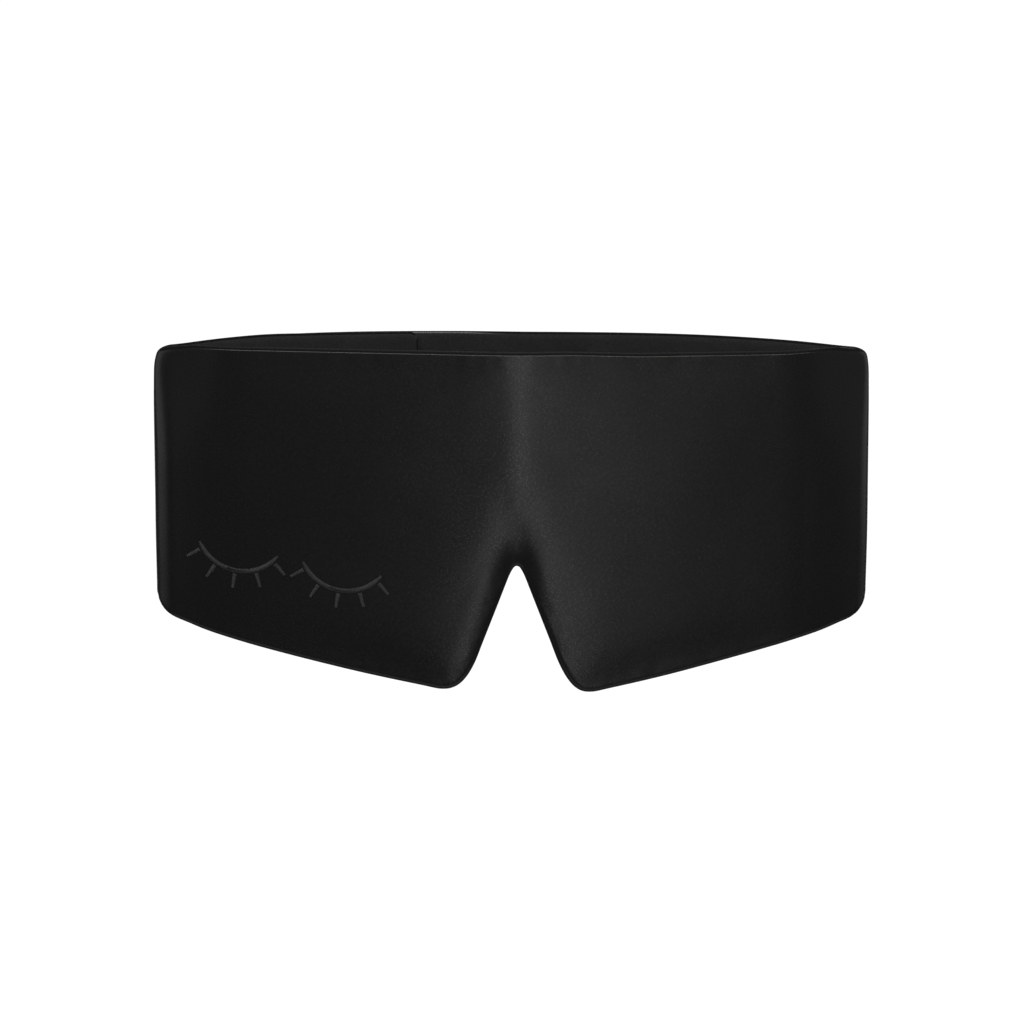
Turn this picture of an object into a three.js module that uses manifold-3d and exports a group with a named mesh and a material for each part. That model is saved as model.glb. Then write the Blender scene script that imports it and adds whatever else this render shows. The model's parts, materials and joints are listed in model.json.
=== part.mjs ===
// A wrap-around sleep eye mask: a padded face panel with a nose notch, and two padded wings that run back from the
// temples and close behind the head with a hook-and-loop tab. Every layer of fabric and padding is its own solid.
//
// Millimetres. -Y is the way the wearer faces and +Z is up. Left and right are as seen from the front, so +X is right.
// The origin is the middle of the loop that goes round the head, on the mirror plane, level with mid-temple.
import * as THREE from "three";
import { mergeVertices } from "three/addons/utils/BufferGeometryUtils.js";
import Module from "manifold-3d";

const wasm = await Module();
wasm.setup();

// ---- driving dimensions

const LOOP_DEPTH = 53.3; // front of the nose ridge to the back of the closure
const FOLD_CENTRE_X = 126; // the roll where the face panel turns into a wing, at the temple
const FOLD_CENTRE_Y = -5.85;
const FOLD_RADIUS = 6.5; // outer radius of that roll
const FOLD_START = THREE.MathUtils.degToRad(-75); // where the face panel meets the roll, round its centre
const FOLD_END = THREE.MathUtils.degToRad(63); // where the wing leaves it
const FACE_SLOPE = 0.1; // how fast the face panel falls back on either side of the nose
const CREST = 8; // roundness of the upright crest over the nose

const TOP = 50; // the level top edge
const TOP_CORNER = 4;
const NOTCH_TOP = -29.4; // apex of the nose notch
const LOBE_BOTTOM = -76.4; // lowest point, either side of the notch
const TEMPLE_BOTTOM = -38.5; // where the lower edge rounds the temple
const STRAP_BOTTOM = -23; // lower edge of the wings behind the head
const PAD_INSET = 3; // the padding stops this far inside the sewn edge

const GAP = 0.3; // between one layer and the next
const FABRIC = 1.0;
const INTERLINING = 0.5;
const LINING = 0.8;
const FACE_PAD = 3.4;
const FACE_PAD_AT_TEMPLE = 1.9;
const THINNING_START_X = 85; // from here the face padding thins towards the temple
const THINNING_LENGTH = 40;
const WING_PAD = 2.4;
const LEFT_PAD_UNDER_TAB = 1.9;
const PATCH = 0.7; // hook and loop tape
const THREAD = 0.6; // raised height of the embroidery

const TAB_ROOT_X = -30; // the right wing ends here and the tab begins
const TAB_END_X = -92;
const LEFT_TIP_X = -34; // the left wing ends here, under the tab
const TAB_CORNER = 14;
const LEFT_TIP_CORNER = 10;
const TAB_BOTTOM = -17;
const LAP_DEPTH = 4.4; // how far the left wing lies below the outer surface where the tab covers it
const LAP_START_X = -122; // the left wing begins to sink here
const LAP_FULL_X = -96; // and has sunk fully here

const WING_SIDE = FOLD_CENTRE_X + FOLD_RADIUS + 0.1; // just outside the widest point

// Patches of hook and loop tape, seen from the front, and the zigzag stitching round their edges.
const HOOK = { x: -67, z: 15, width: 36, height: 48, corner: 3 };
const LOOP = { x: -79, z: 13, width: 62, height: 50, corner: 3 };
const STITCH_WIDTH = 1.2;

const LABEL = { x: 104, z: -9, width: 16, height: 24, corner: 0.8, thickness: 0.4 };

// The embroidered motif: a pair of closed eyelids on the lower left of the face panel.
const LID = { radius: 17, halfAngle: 58, stroke: 1.2, lash: 6.5, tilt: -9.5 };
const LID_CENTRES = [
  { x: -101, z: -15.5 },
  { x: -63, z: -22 },
];
const LASHES = [-0.86, -0.43, 0, 0.43, 0.86]; // their places along the lid, as shares of its half angle

const BEYOND = 8; // an outline runs on this far where the sheet ends by itself
const BLOCK = 200; // taller and deeper than the mask, for the prisms that outlines are cut with
const BACK_HALF = -8; // a prism that starts here leaves the face panel alone

const COLOURS = {
  satin: { color: 0x1b1b1c, roughness: 0.55, metalness: 0 },
  lining: { color: 0x121213, roughness: 0.9, metalness: 0 },
  foam: { color: 0x2c2c2e, roughness: 0.95, metalness: 0 },
  film: { color: 0x0a0a0a, roughness: 0.4, metalness: 0 },
  tape: { color: 0x161617, roughness: 0.8, metalness: 0 },
  thread: { color: 0x1f1f20, roughness: 0.5, metalness: 0 },
  label: { color: 0xd8d8d4, roughness: 0.8, metalness: 0 },
};

// ---- the plan path: the outer surface seen from above

const point = (x, y) => new THREE.Vector2(x, y);

function onFold(angle, radius = FOLD_RADIUS) {
  return point(FOLD_CENTRE_X + radius * Math.cos(angle), FOLD_CENTRE_Y + radius * Math.sin(angle));
}

function ahead(angle) {
  return point(-Math.sin(angle), Math.cos(angle)); // unit vector along the roll, towards the back
}

// Half of the face panel, from the mirror plane to the right temple: a soft crest over the nose, a straight slope
// back to either side, and a steady bend that meets the temple roll in line with it.
const slopeAt = (x) => (FACE_SLOPE * x) / Math.hypot(x, CREST);
const slopeDepth = (x) => FACE_SLOPE * (Math.hypot(x, CREST) - CREST);
const faceEnd = onFold(FOLD_START);
const bendRise = faceEnd.y + LOOP_DEPTH / 2 - slopeDepth(faceEnd.x);
const bendSlope = ahead(FOLD_START).y / ahead(FOLD_START).x - slopeAt(faceEnd.x);
const bendLength = (2 * bendRise) / bendSlope;

// Half of the back, from the right temple to the mirror plane.
const backHalf = new THREE.CubicBezierCurve(
  onFold(FOLD_END),
  onFold(FOLD_END).addScaledVector(ahead(FOLD_END), 54),
  point(60, LOOP_DEPTH / 2),
  point(0, LOOP_DEPTH / 2),
);

const mirrored = (p) => point(-p.x, p.y);

// t runs from -1 at the left temple to 1 at the right.
function facePoint(t) {
  const x = Math.abs(t) * faceEnd.x;
  const bent = Math.max(0, x - (faceEnd.x - bendLength));
  const p = point(x, -LOOP_DEPTH / 2 + slopeDepth(x) + (bendSlope * bent * bent) / (2 * bendLength));
  return t < 0 ? mirrored(p) : p;
}

// t runs from 0 at the right temple through 1 on the mirror plane to 2 at the left temple.
function backPoint(t) {
  return t > 1 ? mirrored(backHalf.getPoint(2 - t)) : backHalf.getPoint(t);
}

// Finds the t at which the back path crosses a given x. The path runs steadily from +x to -x.
function backAt(x) {
  let low = 0;
  let high = 2;
  for (let i = 0; i < 40; i++) {
    const middle = (low + high) / 2;
    if (backPoint(middle).x > x) low = middle;
    else high = middle;
  }
  return (low + high) / 2;
}

// Stations along a path: a point on the outer surface and the unit vector into the mask.
function stations(path, from, to, count, endNormals = {}) {
  const step = 1e-3;
  return Array.from({ length: count + 1 }, (_, i) => {
    const t = from + ((to - from) * i) / count;
    const before = path(Math.max(t - step, Math.min(from, to)));
    const after = path(Math.min(t + step, Math.max(from, to)));
    const along = after.sub(before).normalize();
    let inward = point(-along.y, along.x);
    if (i === 0 && endNormals.first) inward = endNormals.first;
    if (i === count && endNormals.last) inward = endNormals.last;
    return { at: path(t), inward };
  });
}

const intoFold = (angle) => point(-Math.cos(angle), -Math.sin(angle));
const mirrorDirection = (v) => point(-v.x, v.y);

const TAB_SLIT = 0.002; // half the slit between the right wing and the tab, as a share of the half loop

const faceStations = stations(facePoint, -1, 1, 44, {
  first: mirrorDirection(intoFold(FOLD_START)),
  last: intoFold(FOLD_START),
});
const rightStations = stations(backPoint, 0, backAt(TAB_ROOT_X) - TAB_SLIT, 24, { first: intoFold(FOLD_END) });
const tabStations = stations(backPoint, backAt(TAB_ROOT_X) + TAB_SLIT, backAt(TAB_END_X), 10);
const leftStations = stations(backPoint, backAt(LEFT_TIP_X), 2, 24, {
  last: mirrorDirection(intoFold(FOLD_END)),
});

// ---- solids

function asManifold(geometry) {
  geometry.deleteAttribute("normal");
  geometry.deleteAttribute("uv");
  const merged = mergeVertices(geometry, 1e-4);
  const vertProperties = merged.attributes.position.array;
  const triVerts = new Uint32Array(merged.index.array);
  return new wasm.Manifold(new wasm.Mesh({ numProp: 3, vertProperties, triVerts }));
}

function asGeometry(manifold) {
  const mesh = manifold.getMesh();
  const geometry = new THREE.BufferGeometry();
  geometry.setAttribute("position", new THREE.BufferAttribute(mesh.vertProperties, 3));
  geometry.setIndex(new THREE.BufferAttribute(mesh.triVerts, 1));
  geometry.computeVertexNormals();
  return geometry;
}

// A sheet that follows the stations between two depths below the outer surface. A depth is a function of the point.
function sheet(line, outer, inner) {
  const offset = (s, depth) => s.at.clone().addScaledVector(s.inward, depth(s.at));
  const points = line.map((s) => offset(s, outer));
  points.push(...line.map((s) => offset(s, inner)).reverse());
  const geometry = new THREE.ExtrudeGeometry(new THREE.Shape(points), { depth: BLOCK, bevelEnabled: false });
  geometry.translate(0, 0, -BLOCK / 2);
  return asManifold(geometry);
}

// A block with an outline in X and Z, running right through the mask along Y, or only through its back half.
function prism(outline, front = -BLOCK / 2, back = BLOCK / 2) {
  const geometry = new THREE.ExtrudeGeometry(new THREE.Shape(outline), {
    depth: back - front,
    bevelEnabled: false,
  });
  geometry.rotateX(Math.PI / 2);
  geometry.translate(0, back, 0);
  return asManifold(geometry);
}

// Moves an outline inwards by a distance. The outline runs anticlockwise.
function inset(outline, distance) {
  const count = outline.length;
  return outline.map((p, i) => {
    const before = outline[(i + count - 1) % count];
    const after = outline[(i + 1) % count];
    const along = after.clone().sub(before).normalize();
    return point(p.x - along.y * distance, p.y + along.x * distance);
  });
}

const steady = (depth) => () => depth;

// ---- outlines, seen from the front

function arc(x, z, radius, fromDegrees, toDegrees, count = 4) {
  return Array.from({ length: count + 1 }, (_, i) => {
    const angle = THREE.MathUtils.degToRad(fromDegrees + ((toDegrees - fromDegrees) * i) / count);
    return point(x + radius * Math.cos(angle), z + radius * Math.sin(angle));
  });
}

// The right half of the lower edge, from the notch's apex round the lobe and out to the temple.
function lowerEdge() {
  const notch = [point(0, NOTCH_TOP), point(1.8, NOTCH_TOP - 1.2), point(3.2, -33.9), point(9.1, -49.4)];
  const lobe = [point(15.4, -66.6), point(18.4, -72.9), point(22, -75.9), point(27, LOBE_BOTTOM)];
  const sweep = [point(36, -75), point(60, -70), point(90, -62.8), point(119, -54)];
  const corner = [point(126.5, -50.6), point(130.6, -46.6), point(WING_SIDE, TEMPLE_BOTTOM)];
  return new THREE.SplineCurve([...notch, ...lobe, ...sweep, ...corner]).getPoints(44);
}

function faceOutline() {
  const top = arc(WING_SIDE - TOP_CORNER, TOP - TOP_CORNER, TOP_CORNER, 0, 90);
  const right = [...lowerEdge(), ...top];
  const left = right.map(mirrored).reverse();
  return [...right, ...left.slice(0, -1)];
}

// The lower edge of the right wing, from the temple to the mirror plane.
const wingEdge = new THREE.CubicBezierCurve(
  point(WING_SIDE, TEMPLE_BOTTOM),
  point(124, -32),
  point(88, STRAP_BOTTOM - 1),
  point(0, STRAP_BOTTOM),
);

function rightWingOutline() {
  const edge = wingEdge.getPoints(14).reverse();
  const start = TAB_ROOT_X - BEYOND;
  const end = WING_SIDE + BEYOND;
  return [point(start, STRAP_BOTTOM), ...edge, point(end, TEMPLE_BOTTOM), point(end, TOP), point(start, TOP)];
}

function tabOutline() {
  const r = TAB_CORNER;
  return [
    point(TAB_ROOT_X + BEYOND, STRAP_BOTTOM),
    point(TAB_ROOT_X + BEYOND, TOP),
    ...arc(TAB_END_X + r, TOP - r, r, 90, 180, 5),
    ...arc(TAB_END_X + r, TAB_BOTTOM + r, r, 180, 262, 5),
  ];
}

function leftWingOutline() {
  const r = LEFT_TIP_CORNER;
  const edge = wingEdge.getPoints(14).map(mirrored).filter((p) => p.x < LEFT_TIP_X - r);
  return [
    point(-WING_SIDE - BEYOND, TOP),
    point(-WING_SIDE - BEYOND, TEMPLE_BOTTOM),
    ...edge,
    ...arc(LEFT_TIP_X - r, STRAP_BOTTOM - 0.2 + r, r, 275, 360, 5),
    ...arc(LEFT_TIP_X - r, TOP - r, r, 0, 90, 5),
  ];
}

function rectangle(x, z, width, height, corner) {
  const right = x + width / 2 - corner;
  const left = x - width / 2 + corner;
  const up = z + height / 2 - corner;
  const down = z - height / 2 + corner;
  return [
    ...arc(right, down, corner, 270, 360, 3),
    ...arc(right, up, corner, 0, 90, 3),
    ...arc(left, up, corner, 90, 180, 3),
    ...arc(left, down, corner, 180, 270, 3),
  ];
}

// ---- the layers

const smooth = (value) => THREE.MathUtils.smoothstep(value, 0, 1);

// The padding of the face thins towards the temples.
function facePad(at) {
  const towardsTemple = smooth((Math.abs(at.x) - THINNING_START_X) / THINNING_LENGTH);
  return THREE.MathUtils.lerp(FACE_PAD, FACE_PAD_AT_TEMPLE, towardsTemple);
}

// How far the left wing has sunk below the outer surface.
function lap(at) {
  return LAP_DEPTH * smooth((at.x - LAP_START_X) / (LAP_FULL_X - LAP_START_X));
}

function leftPad(at) {
  return THREE.MathUtils.lerp(WING_PAD, LEFT_PAD_UNDER_TAB, lap(at) / LAP_DEPTH);
}

const FACE_OUTLINE = faceOutline();
const INTERLINING_DEPTH = FABRIC + GAP;
const FACE_PAD_DEPTH = INTERLINING_DEPTH + INTERLINING + GAP;
const WING_PAD_DEPTH = FABRIC + GAP;
const LINING_INSET = 0.5; // the lining's edge lies just inside the outer fabric's

function faceLayer(outer, inner, edge) {
  const outline = edge ? inset(FACE_OUTLINE, edge) : FACE_OUTLINE;
  return sheet(faceStations, outer, inner).intersect(prism(outline));
}

function faceOuterFabric() {
  return faceLayer(steady(0), steady(FABRIC), 0);
}

function blackoutInterlining() {
  return faceLayer(steady(INTERLINING_DEPTH), steady(INTERLINING_DEPTH + INTERLINING), PAD_INSET / 2);
}

function facePadding() {
  return faceLayer(steady(FACE_PAD_DEPTH), (at) => FACE_PAD_DEPTH + facePad(at), PAD_INSET);
}

function faceLining() {
  const outer = (at) => FACE_PAD_DEPTH + facePad(at) + GAP;
  return faceLayer(outer, (at) => outer(at) + LINING, LINING_INSET);
}

// The stretch of fabric and padding that rolls round the temple.
function templeFold(side) {
  const thickness = FACE_PAD_DEPTH + FACE_PAD_AT_TEMPLE + GAP + LINING;
  const clear = 0.05; // radians left free at each end
  const quarter = (from, to, outline) => {
    const line = stations((t) => onFold(THREE.MathUtils.lerp(from, to, t)), 0, 1, 6);
    return sheet(line, steady(0), steady(thickness)).intersect(prism(outline));
  };
  const front = quarter(FOLD_START + clear, 0, FACE_OUTLINE);
  const back = quarter(0, FOLD_END - clear, rightWingOutline());
  const roll = front.add(back);
  return side > 0 ? roll : roll.mirror([1, 0, 0]);
}

function rightWingLayer(outer, inner, edge) {
  const outline = edge ? inset(rightWingOutline(), edge) : rightWingOutline();
  return sheet(rightStations, steady(outer), steady(inner)).intersect(prism(outline, BACK_HALF));
}

function leftWingLayer(outer, inner, edge) {
  const outline = edge ? inset(leftWingOutline(), edge) : leftWingOutline();
  const sunk = (depth) => (at) => lap(at) + depth(at);
  return sheet(leftStations, sunk(outer), sunk(inner)).intersect(prism(outline, BACK_HALF));
}

function tabLayer(outer, inner, edge) {
  const outline = edge ? inset(tabOutline(), edge) : tabOutline();
  return sheet(tabStations, steady(outer), steady(inner)).intersect(prism(outline, 0));
}

// ---- hook and loop patches, their edge stitching, label

const HOOK_DEPTH = FABRIC + GAP + LINING + GAP;

function patchOutline(patch, grow = 0) {
  return rectangle(patch.x, patch.z, patch.width + 2 * grow, patch.height + 2 * grow, patch.corner + grow);
}

function stitchRing(layer, patch) {
  const outside = prism(patchOutline(patch, GAP + STITCH_WIDTH), 0);
  const inside = prism(patchOutline(patch, GAP), 0);
  return layer.intersect(outside).subtract(inside);
}

const tabPatchSheet = () => sheet(tabStations, steady(HOOK_DEPTH), steady(HOOK_DEPTH + PATCH));

const leftPatchSheet = () => sheet(leftStations, (at) => lap(at) - GAP - PATCH, (at) => lap(at) - GAP);

function careLabel() {
  const depth = WING_PAD_DEPTH + WING_PAD + GAP + LINING + GAP;
  const label = sheet(rightStations, steady(depth), steady(depth + LABEL.thickness));
  return label.intersect(prism(patchOutline(LABEL), BACK_HALF));
}

// ---- the embroidered motif: closed eyelids, each an arc with five lashes

function lash(x, z, angleDegrees) {
  const geometry = new THREE.BoxGeometry(LID.lash, BLOCK, LID.stroke);
  geometry.translate(LID.lash / 2, 0, 0);
  geometry.rotateY(-THREE.MathUtils.degToRad(angleDegrees));
  geometry.translate(x, 0, z);
  return asManifold(geometry);
}

function eyelid({ x, z }) {
  const middle = 270 + LID.tilt;
  const from = middle - LID.halfAngle;
  const to = middle + LID.halfAngle;
  const outer = arc(x, z, LID.radius + LID.stroke / 2, from, to, 14);
  const inner = arc(x, z, LID.radius - LID.stroke / 2, to, from, 14);
  let motif = prism([...outer, ...inner]);
  for (const share of LASHES) {
    const angle = middle + share * LID.halfAngle;
    const [root] = arc(x, z, LID.radius, angle, angle, 1);
    motif = motif.add(lash(root.x, root.y, angle));
  }
  return sheet(faceStations, steady(-GAP - THREAD), steady(-GAP)).intersect(motif);
}

// ---- assembly

function mesh(name, look, manifold) {
  const made = new THREE.Mesh(asGeometry(manifold), new THREE.MeshStandardMaterial(COLOURS[look]));
  made.name = name;
  return made;
}

function facePanel() {
  const group = new THREE.Group();
  group.add(mesh("face_outer_fabric", "satin", faceOuterFabric()));
  group.add(mesh("blackout_interlining", "film", blackoutInterlining()));
  group.add(mesh("face_padding", "foam", facePadding()));
  group.add(mesh("face_lining", "lining", faceLining()));
  group.add(mesh("right_temple_fold", "satin", templeFold(1)));
  group.add(mesh("left_temple_fold", "satin", templeFold(-1)));
  group.add(mesh("left_embroidered_lid", "thread", eyelid(LID_CENTRES[0])));
  group.add(mesh("right_embroidered_lid", "thread", eyelid(LID_CENTRES[1])));
  return group;
}

function rightWing() {
  const lining = WING_PAD_DEPTH + WING_PAD + GAP;
  const group = new THREE.Group();
  group.add(mesh("right_wing_outer_fabric", "satin", rightWingLayer(0, FABRIC, 0)));
  group.add(mesh("right_wing_padding", "foam", rightWingLayer(WING_PAD_DEPTH, lining - GAP, PAD_INSET)));
  group.add(mesh("right_wing_lining", "lining", rightWingLayer(lining, lining + LINING, LINING_INSET)));
  group.add(mesh("care_label", "label", careLabel()));
  return group;
}

function closureTab() {
  const lining = FABRIC + GAP;
  const group = new THREE.Group();
  group.add(mesh("tab_outer_fabric", "satin", tabLayer(0, FABRIC, 0)));
  group.add(mesh("tab_lining", "lining", tabLayer(lining, lining + LINING, LINING_INSET)));
  group.add(mesh("hook_patch", "tape", tabPatchSheet().intersect(prism(patchOutline(HOOK), 0))));
  group.add(mesh("hook_patch_stitching", "thread", stitchRing(tabPatchSheet(), HOOK)));
  return group;
}

function leftWing() {
  const pad = steady(WING_PAD_DEPTH);
  const padEnd = (at) => WING_PAD_DEPTH + leftPad(at);
  const lining = (at) => padEnd(at) + GAP;
  const group = new THREE.Group();
  group.add(mesh("left_wing_outer_fabric", "satin", leftWingLayer(steady(0), steady(FABRIC), 0)));
  group.add(mesh("left_wing_padding", "foam", leftWingLayer(pad, padEnd, PAD_INSET)));
  const liningEnd = (at) => lining(at) + LINING;
  group.add(mesh("left_wing_lining", "lining", leftWingLayer(lining, liningEnd, LINING_INSET)));
  group.add(mesh("loop_patch", "tape", leftPatchSheet().intersect(prism(patchOutline(LOOP), 0))));
  group.add(mesh("loop_patch_stitching", "thread", stitchRing(leftPatchSheet(), LOOP)));
  return group;
}

const mask = new THREE.Group();
mask.add(facePanel(), rightWing(), closureTab(), leftWing());

export default mask;
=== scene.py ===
"""Looks for the sleep eye mask: padded satin covers with brushed linings, hook and loop tapes, stitches and
embroidery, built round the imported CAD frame. Metres. -Y is the way the wearer faces and +Z is up. Left and
right are as seen from the front."""

import json
import math
import random

import bmesh
import bpy
import numpy as np
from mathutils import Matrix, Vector, noise


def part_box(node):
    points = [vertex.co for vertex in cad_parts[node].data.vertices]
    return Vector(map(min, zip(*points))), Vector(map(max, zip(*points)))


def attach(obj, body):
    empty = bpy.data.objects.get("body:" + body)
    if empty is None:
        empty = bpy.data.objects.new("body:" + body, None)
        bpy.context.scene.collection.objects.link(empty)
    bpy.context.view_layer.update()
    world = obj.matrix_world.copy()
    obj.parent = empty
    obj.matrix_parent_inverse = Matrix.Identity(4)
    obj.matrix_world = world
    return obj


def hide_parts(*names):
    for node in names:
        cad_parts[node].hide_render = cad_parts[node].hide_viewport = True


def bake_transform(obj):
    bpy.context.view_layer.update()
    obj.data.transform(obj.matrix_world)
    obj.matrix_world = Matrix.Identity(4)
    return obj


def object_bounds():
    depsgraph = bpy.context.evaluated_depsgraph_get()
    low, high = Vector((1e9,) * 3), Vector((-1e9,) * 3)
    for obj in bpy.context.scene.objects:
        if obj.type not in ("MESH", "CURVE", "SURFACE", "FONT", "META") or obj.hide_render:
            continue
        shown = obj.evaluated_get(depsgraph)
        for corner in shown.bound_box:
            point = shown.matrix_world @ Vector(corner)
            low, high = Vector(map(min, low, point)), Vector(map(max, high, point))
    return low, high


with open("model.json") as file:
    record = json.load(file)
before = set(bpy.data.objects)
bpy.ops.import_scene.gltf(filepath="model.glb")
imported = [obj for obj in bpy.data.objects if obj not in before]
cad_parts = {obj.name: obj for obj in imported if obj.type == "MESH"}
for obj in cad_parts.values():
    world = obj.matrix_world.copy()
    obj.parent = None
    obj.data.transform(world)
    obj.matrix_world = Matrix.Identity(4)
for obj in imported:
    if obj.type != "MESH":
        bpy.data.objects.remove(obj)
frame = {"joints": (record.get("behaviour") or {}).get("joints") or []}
CAD_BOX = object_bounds()
MM = 0.001

# ---- dimensions, from the frame where it holds them ----

JOINTS = {j["name"]: j for j in frame["joints"]}
LOW, HIGH = (np.array(corner) for corner in CAD_BOX)
FOLD_X, FOLD_Y = JOINTS["right_wing_swing"]["pos_m"][:2]  # centre of the roll at the right temple
FOLD_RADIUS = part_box("right_temple_fold")[1].x - FOLD_X
FOLD_START = math.radians(-75)  # the face panel meets the roll here, round its centre
FOLD_END = math.radians(63)  # the wing leaves it here
EASE = 3.5 * MM  # the start of the roll is smoothed over this length
EASE_BEFORE = 18 * MM  # from here before the start of the roll
EASE_AFTER = 1 * MM  # to here past it
EASE_RAMP = 12 * MM  # coming on and fading away over this length
WIDEN = 0.6 * MM  # the easing takes about half of this off the width
WIDEN_REACH = 9 * MM
FRONT = LOW[1]
BACK = HIGH[1]
TOP = HIGH[2]
FACE_SLOPE = 0.1  # the face panel falls back this fast on either side of the nose
CREST = 8 * MM  # and its crest is this round

FACE_HALF = 3.3 * MM  # half the thickness of the padded face panel
TEMPLE_HALF = 2.5 * MM
WING_HALF = 2.5 * MM
TAB_HALF = 1.05 * MM
TIP_HALF = 2.2 * MM  # the left wing, under the tab
THINNING = (85 * MM, 125 * MM)  # the face panel thins between these distances from the mirror plane
TO_TAB = (12 * MM, 34 * MM)  # the right wing starts to thin at this x, over this length
TO_TIP = (110 * MM, 40 * MM)  # and so does the left wing

TEMPLE_BOTTOM = -44.8 * MM
STRAP_BOTTOM = -23 * MM
TAB_BOTTOM = -17 * MM
TAB_ROOT_X = JOINTS["tab_peel"]["pos_m"][0]
TAB_SPLIT_X = TAB_ROOT_X + 8 * MM  # the bend of the peeling tab starts here
TAB_END_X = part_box("tab_outer_fabric")[0].x
LEFT_TIP_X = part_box("left_wing_outer_fabric")[1].x
LAP_DEPTH = 4.4 * MM  # how far the left wing lies below the outer surface where the tab covers it
LAP_START_X = -122 * MM
LAP_FULL_X = -96 * MM


# ---- the plan path: the outer surface seen from above, by its length from the middle of the face ----

def on_fold(angle):
    return np.array([FOLD_X + FOLD_RADIUS * math.cos(angle), FOLD_Y + FOLD_RADIUS * math.sin(angle)])


def ahead(angle):
    return np.array([-math.sin(angle), math.cos(angle)])


def bezier(points, count):
    t = np.linspace(0, 1, count)[:, None]
    a, b, c, d = (np.array(p) for p in points)
    return (1 - t) ** 3 * a + 3 * (1 - t) ** 2 * t * b + 3 * (1 - t) * t**2 * c + t**3 * d


def smooth(value):
    t = np.clip(value, 0, 1)
    return t * t * (3 - 2 * t)


FACE_POINTS, FOLD_POINTS, BACK_POINTS = 400, 80, 400


def rim(value):
    """Rises from 0 to 1 like a rounded edge."""
    return np.sqrt(1 - (1 - np.clip(value, 0, 1)) ** 2)


def plan_path():
    """Points of the right half of the loop and on past both of its ends, with their lengths along it."""
    start, end = on_fold(FOLD_START), on_fold(FOLD_END)
    x = np.linspace(0, start[0], FACE_POINTS)
    slope = ahead(FOLD_START)[1] / ahead(FOLD_START)[0] - FACE_SLOPE * x[-1] / math.hypot(x[-1], CREST)
    rise = start[1] - FRONT - FACE_SLOPE * (math.hypot(x[-1], CREST) - CREST)
    bend = 2 * rise / slope
    y = FRONT + FACE_SLOPE * (np.hypot(x, CREST) - CREST)
    y += slope * np.maximum(x - (x[-1] - bend), 0) ** 2 / (2 * bend)
    face = np.stack([x, y], axis=1)
    fold = np.array([on_fold(a) for a in np.linspace(FOLD_START, FOLD_END, FOLD_POINTS)])
    back = bezier([end, end + ahead(FOLD_END) * 54 * MM, (60 * MM, BACK), (0, BACK)], BACK_POINTS)
    beyond = back[::-1] * np.array([-1, 1])
    before = face[::-1] * np.array([-1, 1])
    points = np.concatenate([before[:-1], face[:-1], fold[:-1], back[:-1], beyond])
    lengths = np.concatenate([[0], np.cumsum(np.linalg.norm(np.diff(points, axis=0), axis=1))])
    middle = FACE_POINTS - 1
    lengths -= lengths[middle]
    fold_start = middle + FACE_POINTS - 1
    return points, lengths, lengths[fold_start], lengths[fold_start + FOLD_POINTS - 1]


PATH, PATH_S, S_FOLD, S_WING = plan_path()


def soften(points, lengths):
    """The same points with the start of the temple roll eased into the face panel."""
    step = 0.5 * MM
    even = np.arange(lengths[0], lengths[-1], step)
    reach = np.arange(-int(4 * EASE / step), int(4 * EASE / step) + 1) * step
    kernel = np.exp(-((reach / EASE) ** 2) / 2)
    kernel /= kernel.sum()
    weight = smooth((lengths - S_FOLD + EASE_BEFORE) / EASE_RAMP)
    weight *= 1 - smooth((lengths - S_FOLD - EASE_AFTER) / EASE_RAMP)
    for axis in (0, 1):
        eased = np.convolve(np.interp(even, lengths, points[:, axis]), kernel, mode="same")
        points[:, axis] += weight * (np.interp(lengths, even, eased) - points[:, axis])
    from_middle = lengths - S_FOLD + FOLD_RADIUS * FOLD_START
    points[:, 0] += WIDEN * np.exp(-((from_middle / WIDEN_REACH) ** 2))


UNEASED_X = PATH[:, 0].copy()
soften(PATH, PATH_S)
_step = np.gradient(PATH, axis=0)
_step /= np.linalg.norm(_step, axis=1)[:, None]
PATH_IN = np.stack([-_step[:, 1], _step[:, 0]], axis=1)
FOLD_MIDDLE = S_FOLD - FOLD_RADIUS * FOLD_START  # the widest point, half way round the temple


def along(s):
    """Point and inward unit vector of the plan path at |s|, for the right side."""
    s = np.abs(s)
    p = np.stack([np.interp(s, PATH_S, PATH[:, k]) for k in (0, 1)], axis=-1)
    n = np.stack([np.interp(s, PATH_S, PATH_IN[:, k]) for k in (0, 1)], axis=-1)
    return p, n / np.linalg.norm(n, axis=-1, keepdims=True)


def s_at_back(x):
    """The length along the path where its back part has this x."""
    back = PATH_S >= S_WING
    return float(np.interp(-x, -PATH[back][:, 0], PATH_S[back]))


S_SPLIT = s_at_back(TAB_SPLIT_X)
S_TAB_END = s_at_back(TAB_END_X)
S_LEFT_TIP = s_at_back(-LEFT_TIP_X)


# ---- the lower and upper edges, as heights along the path ----

def catmull(points, per_span=12):
    p = np.array(points, float)
    p = np.vstack([2 * p[0] - p[1], p, 2 * p[-1] - p[-2]])
    out = []
    for i in range(1, len(p) - 2):
        t = np.linspace(0, 1, per_span, endpoint=False)[:, None]
        a, b, c, d = p[i - 1 : i + 3]
        curve = 2 * b + (c - a) * t + (2 * a - 5 * b + 4 * c - d) * t**2 + (3 * b - a - 3 * c + d) * t**3
        out.append(0.5 * curve)
    return np.vstack([*out, p[-2]])


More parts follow.
